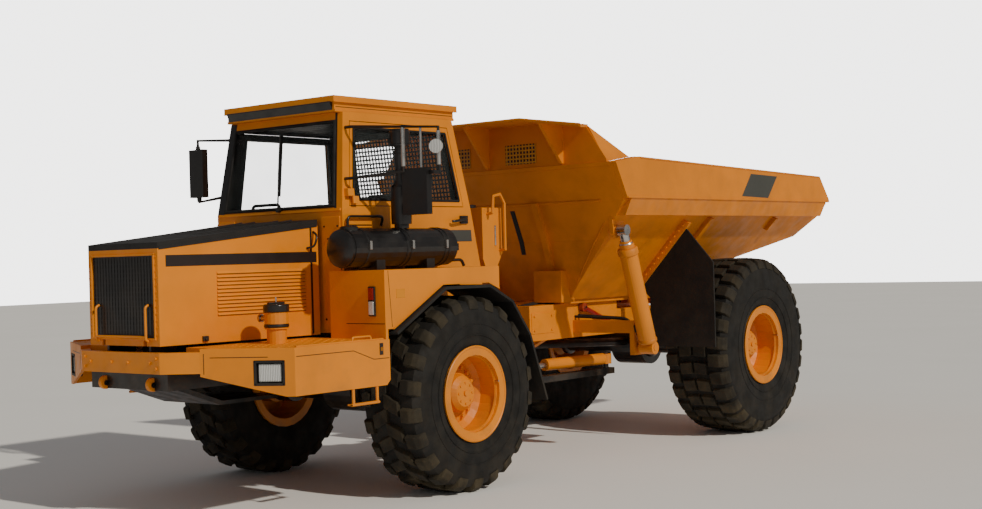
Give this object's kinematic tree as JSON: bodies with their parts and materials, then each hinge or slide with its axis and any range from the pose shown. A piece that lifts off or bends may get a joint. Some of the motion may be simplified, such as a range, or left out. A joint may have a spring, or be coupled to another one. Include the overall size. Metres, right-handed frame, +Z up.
{
  "type": "two-axle articulated dump truck",
  "caption": "Articulated dump truck in yellow: front tractor unit with cab and sloping hood, hinged to a rear unit whose open body tips on hoist cylinders.",
  "frame": {"origin": "centre of the footprint box, on the ground plane", "axes": "+Z up, the truck faces -Y, its left side is +X"},
  "size_m": [3.2, 8.9, 3.26],
  "materials": {
    "black_paint": "black chassis paint, satin",
    "body_paint": "semi-gloss yellow-orange enamel, lightly weathered",
    "cab_plastic": "moulded black plastic",
    "charcoal_panel": "charcoal anti-glare paint, satin",
    "flap_rubber": "black sheet rubber",
    "rod_steel": "plated cylinder rod",
    "seat_fabric": "dark woven seat cloth",
    "tyre": "off-road tyre rubber, dusty tread",
    "window_glass": "clear safety glass"
  },
  "bodies": {
    "front_unit": {"air_cleaner": "black_paint", "cab_roof": "body_paint", "cab_shell": "body_paint", "dashboard": "cab_plastic", "deck_left": "body_paint", "deck_right": "body_paint", "engine_block": "charcoal_panel", "fender_left": "body_paint", "fender_right": "body_paint", "filler_neck": "body_paint", "front_axle": "black_paint", "front_bumper": "body_paint", "front_frame": "black_paint", "hydraulic_tank": "body_paint", "intake_stack": "black_paint", "mirror_left": "black_paint", "mirror_right": "black_paint", "mudguard_left": "flap_rubber", "mudguard_right": "flap_rubber", "rear_window": "window_glass", "seat_back": "seat_fabric", "seat_base": "cab_plastic", "seat_cushion": "seat_fabric", "steering_wheel": "cab_plastic", "windscreen": "window_glass"},
    "hood": {"hood": "body_paint", "hood_top": "charcoal_panel", "grille": "black_paint"},
    "door_left": {"door_left": "body_paint", "door_left_glass": "window_glass"},
    "door_right": {"door_right": "body_paint", "door_right_glass": "window_glass"},
    "wheel_front_left": {"tyre_front_left": "tyre", "rim_front_left": "body_paint"},
    "wheel_rear_left": {"tyre_rear_left": "tyre", "rim_rear_left": "body_paint"},
    "steering_barrel_left": {"steering_barrel_left": "body_paint"},
    "steering_rod_left": {"steering_rod_left": "rod_steel"},
    "hoist_barrel_left": {"hoist_barrel_left": "body_paint"},
    "hoist_stage_outer_left": {"hoist_stage_outer_left": "body_paint"},
    "hoist_stage_inner_left": {"hoist_stage_inner_left": "body_paint"},
    "hoist_rod_left": {"hoist_rod_left": "rod_steel"},
    "wheel_front_right": {"tyre_front_right": "tyre", "rim_front_right": "body_paint"},
    "wheel_rear_right": {"tyre_rear_right": "tyre", "rim_rear_right": "body_paint"},
    "steering_barrel_right": {"steering_barrel_right": "body_paint"},
    "steering_rod_right": {"steering_rod_right": "rod_steel"},
    "hoist_barrel_right": {"hoist_barrel_right": "body_paint"},
    "hoist_stage_outer_right": {"hoist_stage_outer_right": "body_paint"},
    "hoist_stage_inner_right": {"hoist_stage_inner_right": "body_paint"},
    "hoist_rod_right": {"hoist_rod_right": "rod_steel"},
    "hitch": {"hitch": "black_paint"},
    "rear_unit": {"rear_frame": "body_paint", "rear_axle": "black_paint"},
    "dump_body": {"dump_body": "body_paint", "spill_guard": "body_paint", "wheel_flap_left": "flap_rubber", "wheel_flap_right": "flap_rubber"}
  },
  "joints": [
    {"name": "steer", "type": "hinge", "parent": "front_unit", "child": "hitch", "pos_m": [0, -0.52, 1.02], "axis": [0, 0, 1], "range_deg": [-45, 45]},
    {"name": "roll", "type": "hinge", "parent": "hitch", "child": "rear_unit", "pos_m": [0, 0.03, 1.02], "axis": [0, 1, 0], "range_deg": [-15, 15]},
    {"name": "tip", "type": "hinge", "parent": "rear_unit", "child": "dump_body", "pos_m": [0, 3.13, 1.36], "axis": [-1, 0, 0], "range_deg": [0, 70]},
    {"name": "hood_tilt", "type": "hinge", "parent": "front_unit", "child": "hood", "pos_m": [0, -4.345, 1.36], "axis": [1, 0, 0], "range_deg": [0, 60]},
    {"name": "door_left_hinge", "type": "hinge", "parent": "front_unit", "child": "door_left", "pos_m": [0.775, -2.685, 2.4], "axis": [0, 0, -1], "range_deg": [0, 22]},
    {"name": "door_right_hinge", "type": "hinge", "parent": "front_unit", "child": "door_right", "pos_m": [-0.775, -2.605, 2], "axis": [0, 0, 1], "range_deg": [0, 80]},
    {"name": "wheel_front_left_spin", "type": "hinge", "parent": "front_unit", "child": "wheel_front_left", "pos_m": [1.125, -1.97, 0.805], "axis": [1, 0, 0], "continuous": true},
    {"name": "wheel_rear_left_spin", "type": "hinge", "parent": "rear_unit", "child": "wheel_rear_left", "pos_m": [1.245, 2.61, 0.915], "axis": [1, 0, 0], "continuous": true},
    {"name": "wheel_front_right_spin", "type": "hinge", "parent": "front_unit", "child": "wheel_front_right", "pos_m": [-1.125, -1.97, 0.805], "axis": [1, 0, 0], "continuous": true},
    {"name": "wheel_rear_right_spin", "type": "hinge", "parent": "rear_unit", "child": "wheel_rear_right", "pos_m": [-1.245, 2.61, 0.915], "axis": [1, 0, 0], "continuous": true},
    {"name": "steering_barrel_left_yaw", "type": "hinge", "parent": "hitch", "child": "steering_barrel_left", "pos_m": [0.58, 1.13, 0.85], "axis": [0, 0, 1], "range_deg": [-1, 1]},
    {"name": "steering_rod_left_slide", "type": "slide", "parent": "steering_barrel_left", "child": "steering_rod_left", "axis": [-0.1023, -0.9948, 0], "range_m": [-0.3, 0.3]},
    {"name": "steering_barrel_right_yaw", "type": "hinge", "parent": "hitch", "child": "steering_barrel_right", "pos_m": [-0.58, 1.13, 0.85], "axis": [0, 0, 1], "range_deg": [-1, 1]},
    {"name": "steering_rod_right_slide", "type": "slide", "parent": "steering_barrel_right", "child": "steering_rod_right", "axis": [0.1023, -0.9948, 0], "range_m": [-0.3, 0.3]},
    {"name": "hoist_barrel_left_swing", "type": "hinge", "parent": "rear_unit", "child": "hoist_barrel_left", "pos_m": [1.345, 0.75, 1], "axis": [-1, 0, 0], "range_deg": [0, 54]},
    {"name": "hoist_stage_outer_left_slide", "type": "slide", "parent": "hoist_barrel_left", "child": "hoist_stage_outer_left", "axis": [0, -0.3262, 0.9453], "range_m": [0, 0.9]},
    {"name": "hoist_stage_inner_left_slide", "type": "slide", "parent": "hoist_stage_outer_left", "child": "hoist_stage_inner_left", "axis": [0, -0.3262, 0.9453], "range_m": [0, 0.9]},
    {"name": "hoist_rod_left_slide", "type": "slide", "parent": "hoist_stage_inner_left", "child": "hoist_rod_left", "axis": [0, -0.3262, 0.9453], "range_m": [0, 0.9]},
    {"name": "hoist_barrel_right_swing", "type": "hinge", "parent": "rear_unit", "child": "hoist_barrel_right", "pos_m": [-1.345, 0.75, 1], "axis": [-1, 0, 0], "range_deg": [0, 54]},
    {"name": "hoist_stage_outer_right_slide", "type": "slide", "parent": "hoist_barrel_right", "child": "hoist_stage_outer_right", "axis": [0, -0.3262, 0.9453], "range_m": [0, 0.9]},
    {"name": "hoist_stage_inner_right_slide", "type": "slide", "parent": "hoist_stage_outer_right", "child": "hoist_stage_inner_right", "axis": [0, -0.3262, 0.9453], "range_m": [0, 0.9]},
    {"name": "hoist_rod_right_slide", "type": "slide", "parent": "hoist_stage_inner_right", "child": "hoist_rod_right", "axis": [0, -0.3262, 0.9453], "range_m": [0, 0.9]}
  ],
  "couplings": [
    {"joint": "steering_barrel_left_yaw", "follows": "steer", "ratio": -0.016},
    {"joint": "steering_rod_left_slide", "follows": "steer", "m_per_rad": 0.37},
    {"joint": "steering_barrel_right_yaw", "follows": "steer", "ratio": -0.016},
    {"joint": "steering_rod_right_slide", "follows": "steer", "m_per_rad": -0.37},
    {"joint": "hoist_barrel_left_swing", "follows": "tip", "ratio": 0.7543},
    {"joint": "hoist_stage_outer_left_slide", "follows": "tip", "m_per_rad": 0.7326},
    {"joint": "hoist_stage_inner_left_slide", "follows": "tip", "m_per_rad": 0.7326},
    {"joint": "hoist_rod_left_slide", "follows": "tip", "m_per_rad": 0.7326},
    {"joint": "hoist_barrel_right_swing", "follows": "tip", "ratio": 0.7543},
    {"joint": "hoist_stage_outer_right_slide", "follows": "tip", "m_per_rad": 0.7326},
    {"joint": "hoist_stage_inner_right_slide", "follows": "tip", "m_per_rad": 0.7326},
    {"joint": "hoist_rod_right_slide", "follows": "tip", "m_per_rad": 0.7326}
  ]
}
